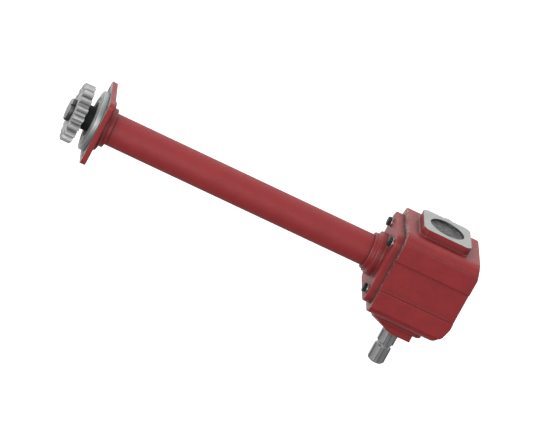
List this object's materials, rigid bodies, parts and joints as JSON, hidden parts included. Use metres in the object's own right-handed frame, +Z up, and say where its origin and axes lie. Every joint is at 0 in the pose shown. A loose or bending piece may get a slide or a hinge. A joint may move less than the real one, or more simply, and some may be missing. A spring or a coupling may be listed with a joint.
{
  "type": "right angle bevel gearbox",
  "caption": "Cast right angle bevel gearbox with a splined PTO input shaft, a long flanged output tube and a spur gear on its far end, for a rotary tiller or mower.",
  "frame": {"origin": "centre of the machined foot under the housing, directly below the crossing of the two shaft axes, which is 90 mm above it", "axes": "+Z up from the foot; the output tube and the spur gear point along -X; the splined input shaft points along -Y and the closed bearing pad along +Y"},
  "size_m": [0.858, 0.308, 0.177],
  "materials": {
    "red_casting": "semi-gloss red enamel over cast iron",
    "machined_iron": "fine-turned bare iron",
    "gear_steel": "milled gear steel, lightly oiled",
    "turned_steel": "turned and ground steel",
    "dark_steel": "dark phosphated steel",
    "black_oxide": "black oxide",
    "zinc_plate": "zinc plated",
    "copper": "soft annealed copper",
    "seal_rubber": "matte nitrile rubber"
  },
  "bodies": {
    "casing": {"drain_plug": "zinc_plate", "drain_plug_washer": "copper", "end_bearing_carrier": "machined_iron", "end_bearing_cup": "turned_steel", "end_flange": "red_casting", "end_retaining_ring": "turned_steel", "end_seal": "seal_rubber", "extension_tube": "red_casting", "filler_plug": "zinc_plate", "filler_plug_washer": "copper", "flange_bolt_1": "black_oxide", "flange_bolt_2": "black_oxide", "flange_bolt_3": "black_oxide", "flange_bolt_4": "black_oxide", "flange_gasket": "seal_rubber", "flange_washer_1": "zinc_plate", "flange_washer_2": "zinc_plate", "flange_washer_3": "zinc_plate", "flange_washer_4": "zinc_plate", "gearbox_housing": "red_casting", "hub_retaining_ring": "turned_steel", "input_front_bearing_cup": "turned_steel", "input_rear_bearing_cup": "turned_steel", "input_seal": "seal_rubber", "level_plug": "zinc_plate", "level_plug_washer": "copper", "output_inner_bearing_cup": "turned_steel", "output_outer_bearing_cup": "turned_steel", "rear_cap": "dark_steel", "rear_retaining_ring": "turned_steel", "tube_flange": "red_casting"},
    "output_train": {"output_shaft": "turned_steel", "crown_gear": "gear_steel", "crown_key": "turned_steel", "crown_nut": "turned_steel", "spur_gear": "gear_steel", "spur_key": "turned_steel", "spur_nut": "dark_steel", "seal_sleeve": "black_oxide", "output_inner_bearing_cone": "turned_steel", "output_outer_bearing_cone": "turned_steel", "end_bearing_cone": "turned_steel"},
    "input_train": {"input_shaft": "turned_steel", "bevel_pinion": "gear_steel", "pinion_key": "turned_steel", "pinion_ring": "turned_steel", "input_front_bearing_cone": "turned_steel", "input_rear_bearing_cone": "turned_steel"},
    "end_bearing_roller_set": {"end_bearing_rollers": "turned_steel"},
    "input_front_bearing_roller_set": {"input_front_bearing_rollers": "turned_steel"},
    "input_rear_bearing_roller_set": {"input_rear_bearing_rollers": "turned_steel"},
    "output_inner_bearing_roller_set": {"output_inner_bearing_rollers": "turned_steel"},
    "output_outer_bearing_roller_set": {"output_outer_bearing_rollers": "turned_steel"}
  },
  "joints": [
    {"name": "output_spin", "type": "hinge", "parent": "casing", "child": "output_train", "pos_m": [0, 0, 0.09], "axis": [1, 0, 0], "continuous": true},
    {"name": "input_spin", "type": "hinge", "parent": "casing", "child": "input_train", "pos_m": [0, 0, 0.09], "axis": [0, 1, 0], "continuous": true},
    {"name": "end_bearing_roll", "type": "hinge", "parent": "casing", "child": "end_bearing_roller_set", "pos_m": [0, 0, 0.09], "axis": [1, 0, 0], "continuous": true},
    {"name": "input_front_bearing_roll", "type": "hinge", "parent": "casing", "child": "input_front_bearing_roller_set", "pos_m": [0, 0, 0.09], "axis": [0, 1, 0], "continuous": true},
    {"name": "input_rear_bearing_roll", "type": "hinge", "parent": "casing", "child": "input_rear_bearing_roller_set", "pos_m": [0, 0, 0.09], "axis": [0, 1, 0], "continuous": true},
    {"name": "output_inner_bearing_roll", "type": "hinge", "parent": "casing", "child": "output_inner_bearing_roller_set", "pos_m": [0, 0, 0.09], "axis": [1, 0, 0], "continuous": true},
    {"name": "output_outer_bearing_roll", "type": "hinge", "parent": "casing", "child": "output_outer_bearing_roller_set", "pos_m": [0, 0, 0.09], "axis": [1, 0, 0], "continuous": true}
  ],
  "couplings": [
    {"joint": "input_spin", "follows": "output_spin", "ratio": -1.5},
    {"joint": "end_bearing_roll", "follows": "output_spin", "ratio": 0.444},
    {"joint": "input_front_bearing_roll", "follows": "output_spin", "ratio": -0.666},
    {"joint": "input_rear_bearing_roll", "follows": "output_spin", "ratio": -0.666},
    {"joint": "output_inner_bearing_roll", "follows": "output_spin", "ratio": 0.444},
    {"joint": "output_outer_bearing_roll", "follows": "output_spin", "ratio": 0.444}
  ]
}
